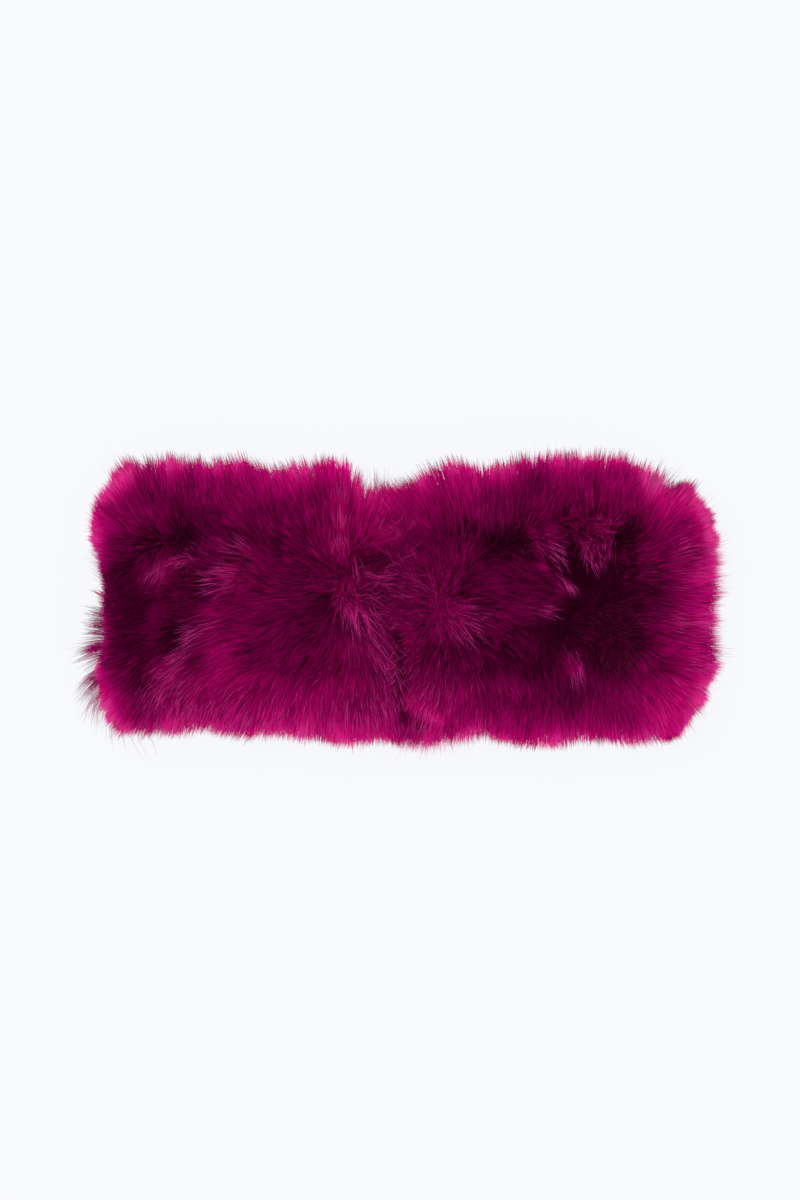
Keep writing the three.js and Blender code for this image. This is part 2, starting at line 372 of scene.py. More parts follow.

# Broad places where light and shade are painted on the front of the pile, in millimetres: its strands are
# made lighter or darker there.
PAINTED_LIGHT_AND_SHADE = np.array([
    # x, y, width, lighter
    # left end: a dark band, light towards its two corners and at its outline
    (-115, 9, 8, -0.3),
    (-113, -6, 9, -0.3),
    (-113, -22, 9, -0.15),
    (-112, 22, 8, -0.15),
    (-120, 3, 5, -0.15),
    (-125, -28, 9, -0.25),
    (-124, 24, 7, 0.25),
    (-120, -38, 7, 0.2),
    (-110, -26, 6, 0.1),
    (-102, -34, 8, -0.25),
    (-104, -46, 8, -0.1),
    # left panel, upper half
    (-98, 38, 8, -0.15),
    (-90, 48, 9, -0.12),
    (-76, 32, 9, -0.2),
    (-48, 35, 7, -0.1),
    (-34, 50, 7, 0.15),
    (-93, 14, 9, 0.15),
    (-80, 6, 9, -0.3),
    (-62, 6, 8, 0.15),
    (-30, 20, 8, 0.1),
    (-20, 26, 7, 0.15),
    (-10, 36, 8, 0.2),
    (-45, 13, 9, -0.1),
    # left panel, lower half
    (-101, 5, 7, -0.12),
    (-87, -15, 9, -0.35),
    (-70, -27, 10, 0.2),
    (-42, -6, 12, -0.1),
    (-54, -16, 12, -0.05),
    (-20, -4, 9, -0.15),
    (-70, -46, 7, -0.12),
    (-34, -47, 14, 0.08),
    # the valley between the panels
    (-3, 6, 9, -0.2),
    (1, 31, 8, -0.15),
    (-4, -22, 8, -0.1),
    (3, -46, 8, -0.1),
    (14, -55, 10, 0.12),
    # right panel, from its parting to the deep hollow
    (20, 1, 9, -0.15),
    (31, 24, 7, -0.12),
    (44, 40, 9, -0.12),
    (30, 1, 9, -0.1),
    (52, 12, 8, -0.15),
    (54, -6, 10, -0.18),
    (67, 14, 8, -0.35),
    (77, 11, 9, -0.35),
    (70, 25, 8, -0.15),
    (80, -8, 11, -0.6),
    (92, 14, 8, 0.2),
    # right panel, rims and lower half
    (52, 49, 8, -0.15),
    (75, 51, 5, -0.12),
    (26, -17, 9, -0.2),
    (34, -42, 8, -0.15),
    (52, -26, 13, -0.26),
    (71, -42, 9, -0.25),
    (70, -26, 3, 0.25),
    (80, -28, 8, -0.15),
    # right end: dark inside, light at its outline and corners
    (100, 3, 8, -0.2),
    (91, -16, 8, -0.25),
    (113, 42, 9, 0.28),
    (124, 4, 11, 0.22),
    (114, -22, 10, 0.12),
    (112, -46, 11, 0.22),
])

# Broad places where light is painted on the pile underneath, in the front fringe's shade, in millimetres: its
# strands are made lighter or darker there.
PAINTED_LIGHT_BELOW = np.array([
    # x, y, width, lighter
    (4, -55, 7, 0.35),
    (14, -55, 8, 0.45),
    (24, -56, 6, 0.3),
])

# Places along the rims where the pile of the front, or of the layer underneath, is shorter or longer by a
# share.
RIMS = np.array([
    # x, side, width, front, underneath
    (14, -1, 14, -0.2, 0.0),
])

# Patches of loose hairs that stand out of the pile, in millimetres. A patch has its middle and its spread
# round the band and across it, its number of hairs, and their length as a share of the pile's. The hairs lean
# along and across the band by so many radians, gather in points by a share, and have a tone, 0 for dark ones.
# A tone above 0.65 gives them the bright colours of painted sheen.
LOOSE = {
    "left": [
        # s, c, spread, spread, hairs, length, along, across, gathered, tone
        (-118, 9, 5, 5, 130, 1.5, 0.0, 0.5, 0.6, 0.55),
        (-118, -3, 5, 4, 150, 1.35, 0.0, 0.5, 0.6, 0.6),
        (-118, -11, 5, 4, 200, 1.7, 0.0, 0.2, 0.6, 0.4),
        (-118, -18, 5, 3, 260, 2.05, 0.0, -0.3, 0.7, 0.45),
        (-118, -25, 5, 3, 280, 2.2, 0.0, -0.6, 0.7, 0.45),
        (-118, -33, 5, 4, 320, 2.15, 0.0, -0.9, 0.7, 0.45),
        (-113, 36, 7, 3, 220, 1.03, 0.0, 0.2, 0.6, 0.78),
        (-118, 26, 3, 8, 160, 1.03, 0.0, 0.5, 0.6, 0.78),
        (-118, -12, 5, 8, 120, 1.8, 0.0, 0.0, 0.3, 0.0),
        (-118, -29, 5, 9, 120, 2.0, 0.0, -0.8, 0.4, 0.0),
        (-224, 28, 8, 3, 330, 1.25, 0.1, 0.1, 0.1, 0.0),
    ],
    "right": [
        (104, 33, 7, 2, 220, 1.4, 0.15, 0.5, 0.1, 0.0),
        (121, -4, 5, 22, 260, 1.1, 0.0, 0.0, 0.3, 0.0),
        (118, 0, 4, 30, 420, 1.03, 0.0, 0.0, 0.6, 0.78),
        (113, 29, 7, 4, 160, 1.03, 0.0, 0.0, 0.6, 0.78),
        (113, -37, 7, 3, 160, 1.14, 0.2, -0.2, 0.6, 0.6),
        (221, -42, 14, 2.5, 820, 1.04, 0.0, 0.0, 0.15, 0.78),
    ],
}


# ---- Sizes and colours that a user would change ----


class HeadbandSizes(bpy.types.PropertyGroup):
    backing: FloatProperty(
        name="Backing", description="Thickness of the knitted backing", unit="LENGTH", default=2.0 * MM
    )
    pile: FloatProperty(
        name="Pile", description="Length of the long fibres", unit="LENGTH", default=21.0 * MM
    )
    underfur: FloatProperty(
        name="Underfur", description="Depth of the dense fur of the front", unit="LENGTH", default=6.0 * MM
    )
    edge_r: FloatProperty(
        name="Edge radius", description="Radius of the turned edges", unit="LENGTH", default=3.0 * MM
    )
    fibre: FloatProperty(
        name="Fibre", description="Width of a strand of fibres", unit="LENGTH", default=0.24 * MM
    )
    tuft: FloatProperty(
        name="Tuft", description="Distance between two tufts of fibres", unit="LENGTH", default=1.4 * MM
    )
    lock: FloatProperty(
        name="Lock", description="Distance between two locks of tufts", unit="LENGTH", default=8.0 * MM
    )
    seed: IntProperty(name="Seed", description="Start of the fibres' scatter", default=7)


class HeadbandColours(bpy.types.PropertyGroup):
    root: FloatVectorProperty(
        name="Root", description="Fibres near the backing",
        subtype="COLOR", size=3, default=(0.05, 0.0, 0.014),
    )
    middle: FloatVectorProperty(
        name="Middle", description="Fibres half way up",
        subtype="COLOR", size=3, default=(0.4, 0.0, 0.125),
    )
    tip: FloatVectorProperty(
        name="Tip", description="Fibre tips",
        subtype="COLOR", size=3, default=(0.74, 0.001, 0.275),
    )
    # Painted sheen: the colour of fibres that catch the light.
    gleam: FloatVectorProperty(
        name="Gleam", description="Fibres that catch the light",
        subtype="COLOR", size=3, default=(0.8, 0.075, 0.44),
    )
    # A painted glow of backlight on the outermost ends of the rims' tips.
    painted_glow_colour: FloatVectorProperty(
        name="Flare", description="Outermost ends of the rims' tips",
        subtype="COLOR", size=3, default=(1.0, 0.11, 0.4),
    )
    guard: FloatVectorProperty(
        name="Guard hair", description="Thin dark hairs",
        subtype="COLOR", size=3, default=(0.28, 0.1, 0.17),
    )
    knit: FloatVectorProperty(
        name="Knit", description="Knitted backing",
        subtype="COLOR", size=3, default=(0.16, 0.004, 0.08),
    )
    floor: FloatVectorProperty(
        name="Floor", description="Lit surface under the band",
        subtype="COLOR", size=3, default=(0.93, 0.94, 0.975),
    )


# ---- The band as a surface ----

PILE_REACH = 0.93  # share of the pile's length by which it stands out past the turned edges
SQUARE_X = 112  # millimetres from the middle, past which the backing keeps its width
RIPPLE_WAVES = 7
RIPPLE_HEIGHT = 2.6  # of those waves together, by which a ripple is divided
FRONT_FADE = 1.2  # how slowly what belongs to the front fades out round a fold


def sizes():
    return bpy.context.scene.headband_sizes


def colours():
    return bpy.context.scene.headband_colours


def fold_r():
    """Radius of the backing's outer face round a fold."""
    return HOLLOW_R + sizes().backing


def turn():
    return math.pi * fold_r()


def loop_length():
    return 4 * FOLD_X + 2 * turn()


def loop_at(s):
    """x, z and turn angle of places on the backing's outer face: 0 on the front and pi underneath."""
    whole, radius, bend = loop_length(), fold_r(), turn()
    at = np.mod(s, whole)
    at = np.where(at > whole - FOLD_X, at - whole, at)
    right = (at - FOLD_X) / radius
    left = np.pi + (at - 3 * FOLD_X - bend) / radius
    on_front = at <= FOLD_X
    on_right = ~on_front & (at < FOLD_X + bend)
    on_under = ~on_front & ~on_right & (at <= 3 * FOLD_X + bend)
    angle = np.select([on_front, on_right, on_under], [0.0 * at, right, 0.0 * at + np.pi], left)
    x = np.select(
        [on_front, on_right, on_under],
        [at, FOLD_X + radius * np.sin(angle), 2 * FOLD_X + bend - at],
        -FOLD_X + radius * np.sin(angle),
    )
    return x, MID_Z + radius * np.cos(angle), angle


def backing_edges(x):
    """How far the flat backing reaches above and below the middle line."""
    reach = sizes().edge_r + PILE_REACH * sizes().pile
    inside = np.clip(x / MM, -SQUARE_X, SQUARE_X)
    upper = np.interp(inside, EDGES[:, 0], EDGES[:, 1]) * MM - reach
    lower = np.interp(inside, EDGES[:, 0], EDGES[:, 2]) * MM - reach
    return upper, lower


def place_at(s, c):
    """Position, outward normal, directions along and across, and the turns round a fold and an edge."""
    x, z, angle = loop_at(s)
    upper, lower = backing_edges(x)
    over = np.maximum(c - upper, 0) - np.maximum(-c - lower, 0)
    fan = over / sizes().edge_r
    zero = np.zeros_like(x)
    out = np.stack([np.sin(angle), zero, np.cos(angle)], 1)
    along = np.stack([np.cos(angle), zero, -np.sin(angle)], 1)
    across = np.stack([zero, zero + 1, zero], 1)
    sunk = sizes().edge_r * (1 - np.cos(fan))
    y = np.clip(c, -lower, upper) + sizes().edge_r * np.sin(fan)
    position = np.stack([x, y, z], 1) - out * sunk[:, None]
    normal = out * np.cos(fan)[:, None] + across * np.sin(fan)[:, None]
    sideways = across * np.cos(fan)[:, None] - out * np.sin(fan)[:, None]
    return position, normal, along, sideways, angle, fan


def near(table, x, y):
    """How near each place is to each row of a table with x, y and width: 1 at its middle, less outwards."""
    dx = x[:, None] / MM - table[None, :, 0]
    dy = y[:, None] / MM - table[None, :, 1]
    return np.exp(-(dx**2 + dy**2) / table[None, :, 2] ** 2), dx, dy


def along_lines(table, x, y):
    """How near each place is to each line of a table with two ends and a width: 1 on it, less outwards."""
    start, run = table[None, :, :2], table[None, :, 2:4] - table[None, :, :2]
    place = np.stack([x, y], 1)[:, None, :] / MM
    share = ((place - start) * run).sum(2) / (run**2).sum(2)
    away = place - start - run * share.clip(0, 1)[:, :, None]
    return np.exp(-(away**2).sum(2) / table[None, :, 4] ** 2)


def inward(x, y):
    """How far places are in from the outline of the tips."""
    upper = np.interp(x / MM, EDGES[:, 0], EDGES[:, 1]) * MM - y
    lower = np.interp(x / MM, EDGES[:, 0], EDGES[:, 2]) * MM + y
    left = np.interp(y / MM, ENDS[:, 0], ENDS[:, 1]) * MM + x
    right = np.interp(y / MM, ENDS[:, 0], ENDS[:, 2]) * MM - x
    return np.minimum.reduce([upper, lower, left, right]).clip(0)


def ripple(x, y, size, seed):
    """Smooth noise from about -1 to 1 over the surface, in waves of about the given size."""
    rng = np.random.default_rng(seed)
    total = np.zeros_like(x)
    for _ in range(RIPPLE_WAVES):
        heading = rng.uniform(0, 2 * np.pi)
        length = size * rng.uniform(0.7, 1.6)
        phase = rng.uniform(0, 2 * np.pi)
        total += np.sin(2 * np.pi * (x * np.cos(heading) + y * np.sin(heading)) / length + phase)
    return total / RIPPLE_HEIGHT


def front_share(angle):
    """How much a place belongs to the front: 1 there and 0 underneath."""
    return np.clip(0.5 + np.cos(angle) / FRONT_FADE, 0, 1)


FLOW_REACH = 10.0  # millimetres over which a row of FLOW rules the nap
FLOW_ACROSS = 0.02  # share of its rule that a row keeps on the other side of the seam
DENT_OPENS = 8.0  # millimetres from a hollow's middle, within which it opens the pile fully
RIM_ROOTS = 22 * MM  # how far in from the tips' outline the rims' roots stand
CALM = 0.35  # how much of the nap's irregularity is left at the rims
BROAD_STRAY, FINE_STRAY = 0.22, 0.075  # radians by which the nap strays in broad waves and in fine ones


def nap_at(s, x, y, angle):
    """The nap's lean along and across the band, as an angle in radians with a direction."""
    weight, _, _ = near(np.column_stack([FLOW[:, :2], np.full(len(FLOW), FLOW_REACH)]), x, y)
    other = np.sign(x[:, None] - SEAM_X) != np.sign(FLOW[None, :, 0] - SEAM_X / MM)
    weight = np.where(other, FLOW_ACROSS * weight, weight) + TINY
    lean = np.radians(FLOW[:, 4])
    along = (weight * FLOW[:, 2] * lean).sum(1) / weight.sum(1)
    across = (weight * FLOW[:, 3] * lean).sum(1) / weight.sum(1)
    dent, dx, dy = near(DENTS, x, y)
    distance = np.maximum(np.hypot(dx, dy), 1.0)
    opens = np.radians(DENTS[:, 4])
    away = np.minimum(dent * opens * DENT_OPENS / np.maximum(distance, DENT_OPENS / 2), opens)
    along += (away * dx / distance).sum(1)
    across += (away * dy / distance).sum(1)
    share = front_share(angle)
    calm = CALM + (1 - CALM) * ((inward(x, y) - RIM_ROOTS) / RIM_ROOTS).clip(0, 1)
    broad = [BROAD_STRAY * calm * ripple(x, y, size * MM, seed) for size, seed in ((26, 1), (24, 3))]
    fine = [FINE_STRAY * calm * ripple(s, y, size * MM, seed) for size, seed in ((9, 2), (8, 4))]
    along = along * share + broad[0] + fine[0]
    across = across * share + broad[1] + fine[1]
    return along, across


MOST_PRESSED = 0.75  # share of the pile's length that hollows and creases take away at most
RIM_RISE = 20  # millimetres across the band over which the rows of RIMS come in
RIM_START = 0.8  # of that distance from the band's middle, where they start


def pile_length(x, y, angle, fan, pressed_by=1.0):
    """Share of the full pile length at each place."""
    dent, _, _ = near(DENTS, x, y)
    crease = along_lines(CREASES, x, y)
    share = front_share(angle) * np.cos(fan)
    pressed = (dent * DENTS[:, 3]).sum(1) + (crease * CREASES[:, 6]).sum(1)
    shorter = 1 - share * pressed_by * pressed.clip(0, MOST_PRESSED)
    ends = np.where(
        x > 0,
        np.interp(y / MM, ENDS[:, 0], ENDS[:, 2]),
        np.interp(y / MM, ENDS[:, 0], ENDS[:, 1]),
    )
    room = ends * MM - FOLD_X - fold_r()
    side = np.abs(np.sin(angle)) ** 2
    length = shorter * (1 - side) + side * room / sizes().pile
    for place, edge, width, front, underneath in RIMS:
        there = np.exp(-(((x / MM - place) / width) ** 4))
        there = there * np.clip(edge * y / MM / RIM_RISE - RIM_START, 0, 1)
        length = length * (1 + there * np.where(np.cos(angle) > 0, front * np.cos(fan), underneath))
    return length


# ---- Strands ----

# Stations of a strand, from its root to its tip.
LONG = np.array([0.0, 0.36, 0.7, 1.0])
SHORT = np.array([0.0, 0.55, 1.0])
GUARD = np.array([0.0, 0.45, 0.88, 1.0])
RIM = np.array([0.0, 0.38, 0.82, 1.0])  # stays wide for longer

# How strands stand, bend and gather.
MOST_LEAN = 1.35  # radians that a strand leans over at most
BEND_AT_ROOT, BEND_ALONG = 0.35, 0.8  # share of its lean at its root, and how much that grows to its tip
FLOOR_GAP = 0.4 * MM
FLOOR_LAYER = 1.2 * MM  # over which the strands that are pressed on the floor spread
RIM_TUFT = 1.7 * MM  # distance between the tufts along the outline
RAY_PULL = 0.85  # how strongly the strands of a turned corner gather in rays
CORNER_TUFT = 0.06  # radians between the tufts round a turned corner
CORNER_CALM = 0.6  # how much less the strands at the turned corners stray
CORNER_UNEVEN = 0.3  # how much the lengths of their tufts differ
OWN_STRAY = 0.15  # radians that a strand strays from its tuft
GUARD_STAYS = 0.2  # share of a tuft's pull that a guard hair follows
LOWER_CALM = 0.5  # how much less the lower rims' strands gather
FRIZZ, FRIZZ_REACH = 0.2, 2.2  # how much more a strand strays round a whorl, and over how many of its widths
PULL_CURVE = 1.3  # how late along a strand its tuft pulls it

# How light strands are, from 0 to 1.
TONE_OWN = 0.365
TONE_LEAST, TONE_MOST = 0.08, 0.86  # of the pile, apart from the hairs with painted sheen
TONE_TOP = 0.98  # of any strand
GUARD_TONE = 0.0  # of the thin dark hairs that stand out of the pile
PAINTED_RIM_GLOW = 0.42  # how much lighter the pile is painted towards the outline: a painted glow of backlight
RIM_REACH = 2.9 * MM  # over how much of it
RIM_VARIETY = 0.6  # how much more the tufts' painted glow differs at the outline
PAINTED_GLOW_SHARE = 0.12  # share of a strand's colours, at its tip, that only strands at the outline reach: a painted glow of backlight
GLEAM_SHARE = 0.3  # share of the hairs in a brushed tuft that get painted sheen


def scatter(cell_a, cell_b, channel):
    """A number from 0 to 1 for each cell, that looks random but is the same each time."""
    wave = np.sin(cell_a * 127.1 + cell_b * 311.7 + channel * 74.7) * 43758.5453
    return wave - np.floor(wave)


def nearest_centre(s, c, pitch, channel):
    """The centre of the tuft or lock that each place belongs to, and that centre's cell."""
    cell_s, cell_c = np.floor(s / pitch), np.floor(c / pitch)
    best = np.full(s.shape, np.inf)
    found = [np.zeros_like(s) for _ in range(4)]
    for ds in (-1, 0, 1):
        for dc in (-1, 0, 1):
            a, b = cell_s + ds, cell_c + dc
            centre_s = (a + scatter(a, b, channel)) * pitch
            centre_c = (b + scatter(a, b, channel + 1)) * pitch
            far = (centre_s - s) ** 2 + (centre_c - c) ** 2
            closer = far < best
            best = np.where(closer, far, best)
            for kept, new in zip(found, (centre_s, centre_c, a, b)):
                kept[closer] = new[closer]
    return found


def rim_comb(s, c):
    """Tufts side by side along the outline: along s at the long rims, and along c round a fold."""
    _, _, _, _, angle, fan = place_at(s, c)
    folded = (np.abs(np.sin(angle)) > 0.3) & (np.abs(fan) < 0.1)
    centre, _, cell, _ = nearest_centre(np.where(folded, c, s), np.zeros_like(s), RIM_TUFT, 11)
    return np.where(folded, s, centre), np.where(folded, centre, c), cell, folded.astype(float)


def corner_comb(s, c):
    """How strands at the turned corners gather in rays: their leans, the ray of each, and how near it is."""
    _, _, _, _, angle, fan = place_at(s, c)
    heading = np.arctan2(np.sin(fan), np.sin(angle) * np.cos(fan))
    ray = np.floor(heading / CORNER_TUFT)
    off = (ray + 0.5) * CORNER_TUFT - heading
    corner = (4 * np.abs(np.sin(angle) * np.sin(fan))).clip(0, 1)
    along = -np.cos(angle) * np.sin(heading)
    across = np.cos(fan) * np.cos(heading) + np.sin(fan) * np.sin(angle) * np.sin(heading)
    return corner * off * along, corner * off * across, ray, corner


def grow(s, c, length, swing_along, swing_across, steps, pressed_by=1.0):
    """The spines of strands, bending over along the nap, as strand, station and xyz; and their normals."""
    root, normal, along, sideways, angle, fan = place_at(s, c)
    lean_a, lean_c = nap_at(s, root[:, 0], root[:, 1], angle)
    lean_a = lean_a + swing_along
    lean_c = lean_c * np.cos(fan) + swing_across
    lean = np.hypot(lean_a, lean_c)
    heading = (along * lean_a[:, None] + sideways * lean_c[:, None]) / np.maximum(lean, 1e-6)[:, None]
    lean = np.minimum(lean, MOST_LEAN)
    reach = length * sizes().pile * pile_length(root[:, 0], root[:, 1], angle, fan, pressed_by)
    points = [root]
    for start, end in zip(steps[:-1], steps[1:]):
        bend = (lean * (BEND_AT_ROOT + BEND_ALONG * (start + end) / 2))[:, None]
        way = normal * np.cos(bend) + heading * np.sin(bend)
        points.append(points[-1] + way * (reach * (end - start))[:, None])
    return np.stack(points, 1), normal


def strands(s, c, rng, steps, kind):
    """Spines, facing, tone and width of strands from their roots, gathered into tufts and locks."""
    combed = kind["edge"] > 0.5
    tufts = rim_comb(s, c) if combed else nearest_centre(s, c, sizes().tuft, 11)
    tuft_s, tuft_c, tuft_a, tuft_b = tufts
    lock_s, lock_c, lock_a, lock_b = nearest_centre(s, c, sizes().lock, 23)
    count = len(s)
    guard = rng.random(count) < kind["guard"]
    x, y, z = place_at(s, c)[0].T
    curled = near(DENTS, x, y)[0].sum(1).clip(0, 1) * (z > MID_Z)
    frizz = near(WHORLS * [1, 1, FRIZZ_REACH, 1], x, y)[0].max(1) * (z > MID_Z)
    swing = np.where(guard, kind["stray"], OWN_STRAY) + kind["curl"] * curled + FRIZZ * frizz
    ray_along, ray_across, ray, corner = corner_comb(s, c)
    swing = swing * (1 - CORNER_CALM * corner)
    uneven = (0.08 + 0.13 * tuft_b) if combed else 0.14
    ray_length = CORNER_UNEVEN * corner * (scatter(ray, ray, 83) - 0.5)
    tuft_length = 1 + uneven * (scatter(tuft_a, tuft_b, 31) - 0.5) + ray_length
    lock_length = 0.96 + 0.08 * scatter(lock_a, lock_b, 37)
    length = tuft_length * lock_length * rng.uniform(*kind["length"], count)
    past = rng.uniform(1.04, 1.2, count) * np.where(c < 0, 0.93, 1.0)
    length = np.where(guard, length * past, length)
    tuft_swing = [kind["swing"] * (scatter(tuft_a, tuft_b, k) - 0.5) for k in (41, 43)]
    lock_swing = [kind["swing"] * (scatter(lock_a, lock_b, k) - 0.5) for k in (47, 53)]
    own = [rng.normal(0, 1, count) * swing for _ in range(2)]
    both = [tuft_swing[k] + lock_swing[k] + RAY_PULL * (ray_along, ray_across)[k] for k in (0, 1)]
    spine, normal = grow(s, c, length, own[0] + both[0], own[1] + both[1], steps, kind["pressed"])
    tuft, _ = grow(tuft_s, tuft_c, length, *both, steps, kind["pressed"])
    lock, _ = grow(lock_s, lock_c, length, *lock_swing, steps, kind["pressed"])
    pull = steps[None, :, None] ** PULL_CURVE
    loose = np.where(guard, GUARD_STAYS, 1.0) * np.where(combed & (c < 0), LOWER_CALM, 1.0)
    loose = loose[:, None, None]
    spine = spine + kind["tufted"] * loose * pull * (tuft - spine)
    spine = spine + kind["locked"] * loose * pull * (lock - spine)
    low = FLOOR_GAP + FLOOR_LAYER * rng.random(count)[:, None]
    spine[:, :, 2] = np.maximum(spine[:, :, 2], low)
    tuft_tone = np.where(corner > 0.4, 1.6 * scatter(ray, ray, 89) - 0.3, scatter(tuft_a, tuft_b, 61))
    tone = tone_of(spine, rng, tuft_tone, scatter(lock_a, lock_b, 67)) + kind["tone"]
    tone += (kind["mottle"] * curled * rng.normal(0, 1, count))[:, None]
    dark = guard & (rng.random(count) < kind["dark"])
    tone = tone.clip(TONE_LEAST, TONE_TOP)
    tone[:, -1] = np.where(dark, GUARD_TONE, tone[:, -1])
    tone[:, -2] = np.where(dark, 0.6 * tone[:, -2], tone[:, -2])
    width = sizes().fibre * np.where(guard, kind["stout"], rng.uniform(0.7, 1.25, count))
    return spine, normal, tone, width


def painted_light_below(x, y):
    """How much lighter or darker the pile underneath is painted at each place: painted light."""
    return (near(PAINTED_LIGHT_BELOW, x, y)[0] * PAINTED_LIGHT_BELOW[:, 3]).sum(1)


def shade_at(x, y):
    """How much light and shade is painted on the front at each place: by shades, crests, hollows and creases.
    """
    shade = (near(PAINTED_LIGHT_AND_SHADE, x, y)[0] * PAINTED_LIGHT_AND_SHADE[:, 3]).sum(1)
    # Painted highlights along the crests, and painted shade in the hollows and along the creases.
    shade = shade + (along_lines(CREST_HIGHLIGHTS, x, y) * CREST_HIGHLIGHTS[:, 5]).sum(1)
    hollow = (near(DENTS, x, y)[0] * DENTS[:, 5]).sum(1).clip(0, 0.6)
    crease = (along_lines(CREASES, x, y) * CREASES[:, 5]).sum(1).clip(0, 0.5)
    return shade - hollow - crease


def painted_glow_at(x, y):
    """How much of the rims' painted glow there is at each place: 1 at the outline of the tips, fading
    inwards.
    """
    return np.exp(-inward(x, y) / RIM_REACH)


def tone_of(spine, rng, tuft, lock):
    """How light each station of each strand is, from 0 to 1: painted light and shade, glow at the rims, sheen
    in tufts.
    """
    count, stations = spine.shape[:2]
    tip_x, tip_y = spine[:, -1, 0], spine[:, -1, 1]
    own = TONE_OWN + 0.055 * ripple(tip_x, tip_y, 20 * MM, 5) + 0.08 * (tuft - 0.5) + 0.05 * (lock - 0.5)
    glow = painted_glow_at(tip_x, tip_y)
    # The rims' painted glow: tips near the outline are made lighter, standing in for light shining through
    # them from the floor.
    own += rng.normal(0, 0.09, count) + glow * (PAINTED_RIM_GLOW + RIM_VARIETY * (tuft - 0.5))
    shade = shade_at(spine[:, :, 0].ravel(), spine[:, :, 1].ravel()).reshape(count, stations)
    on_front = spine[:, 0, 2] > MID_Z
    # Underneath, the pile takes the painted light below instead of the front's painted light and shade.
    shade = np.where(on_front[:, None], shade, painted_light_below(tip_x, tip_y)[:, None])
    tone = (own[:, None] + shade).clip(TONE_LEAST, TONE_MOST)
    # Painted sheen: a share of the strands in the brushed tufts take light tones.
    gleam, _, _ = near(GLEAMS, (spine[:, 1, 0] + tip_x) / 2, (spine[:, 1, 1] + tip_y) / 2)
    lit = (rng.random(count) < GLEAM_SHARE * (gleam * GLEAMS[:, 3]).sum(1).clip(0, 1)) & on_front
    tone = np.where(lit[:, None], rng.uniform(0.7, TONE_TOP, count)[:, None], tone)
    # Painted light round the whorls, on the lower halves of the hairs that show there.
    whorl_light = (near(WHORLS, spine[:, :, 0].ravel(), spine[:, :, 1].ravel())[0] * WHORLS[:, 3]).max(1)
    whorl_light = whorl_light.reshape(count, stations) * (on_front * rng.uniform(0.5, 1.0, count))[:, None]
    return np.maximum(tone, whorl_light)


BLADE_TAPER = 0.4  # how much a blade narrows towards its tip, before the point
BLADE_ROLL = 0.5  # radians that blades are turned about their length, more or less
BLADE_TONE = 0.004  # half of the width of a blade on the UV map


def strand_mesh(name, spine, normal, tone, width, steps, rng):
    """Joins strands into one mesh of narrow blades that face outwards, each tapering to a point.

    The UV map holds each strand's tone across, and the way from its root to its tip upwards.
    """
    count = len(spine)
    taper = 1 - BLADE_TAPER * steps[:-1] ** 2
    ahead = np.gradient(spine, axis=1)
    ahead /= np.linalg.norm(ahead, axis=2, keepdims=True) + TINY * MM
    roll = rng.normal(0, BLADE_ROLL, count)[:, None, None]
    wide = np.cross(ahead, normal[:, None, :])
    wide /= np.linalg.norm(wide, axis=2, keepdims=True) + TINY
    flat = np.cross(wide, ahead)
    wide = wide * np.cos(roll) + flat * np.sin(roll)
    half = (width[:, None] / 2 * taper[None, :])[:, :, None]
    stations = len(steps) - 1
    base, side = spine[:, :stations], wide[:, :stations] * half
    points = np.stack([base - side, base + side], 2).reshape(count, 2 * stations, 3)
    points = np.concatenate([points, spine[:, -1:]], 1)
    per = 2 * stations + 1
    quads = [(2 * k, 2 * k + 1, 2 * k + 3, 2 * k + 2) for k in range(stations - 1)]
    corners = np.array([i for quad in quads for i in quad] + [per - 3, per - 2, per - 1])
    starts = np.arange(stations) * 4
    loops = len(corners)
    mesh = bpy.data.meshes.new(name)
    mesh.vertices.add(count * per)
    mesh.vertices.foreach_set("co", points.astype(np.float32).ravel())
    mesh.loops.add(count * loops)
    mesh.polygons.add(count * stations)
    first = np.arange(count)[:, None]
    mesh.loops.foreach_set("vertex_index", (first * per + corners[None]).astype(np.int32).ravel())
    mesh.polygons.foreach_set("loop_start", (first * loops + starts[None]).astype(np.int32).ravel())
    mesh.polygons.foreach_set("use_smooth", np.ones(count * stations, bool))
    level = np.append(np.repeat(steps[:stations], 2), 1.0)
    edge = np.append(np.tile([-BLADE_TONE, BLADE_TONE], stations), 0.0)
    across = np.concatenate([np.repeat(tone[:, :stations], 2, axis=1), tone[:, -1:]], 1) + edge
    # Only strands whose tips are at the outline reach the painted glow at the top of their colours.
    reach = 1 - PAINTED_GLOW_SHARE * (1 - painted_glow_at(spine[:, -1, 0], spine[:, -1, 1]))
    up = 0.01 + 0.98 * level[None] * reach[:, None]
    uv = np.stack([across[:, corners], up[:, corners]], 2)
    layer = mesh.uv_layers.new(name="OFBake")
    layer.uv.foreach_set("vector", uv.astype(np.float32).ravel())
    mesh.update(calc_edges=True)
    mesh.validate()
    return mesh


# ---- Materials ----

# Between which tones a strand's colours pass from the dark ones to the light ones, from these to the bright
# ones, and from a guard hair's to the others. Painted shade, along with the pile's own darker tones, takes
# the dark ones; painted sheen takes the bright ones.
TONE_STEPS = ((0.08, 0.65), (0.65, 0.98), (0.02, 0.06))
FIBRE_THROUGH = 0.5  # share of the light that goes through a fibre


def new_material(name):
    material = bpy.data.materials.new(name)
    material.use_nodes = True
    tree = material.node_tree
    tree.nodes.clear()
    return material, tree


def new_node(tree, kind, **values):
    """A node with some of its inputs set. In their names, an underscore stands for a space."""
    node = tree.nodes.new(f"ShaderNode{kind}")
    for name, value in values.items():
        node.inputs[name.replace("_", " ")].default_value = value
    return node


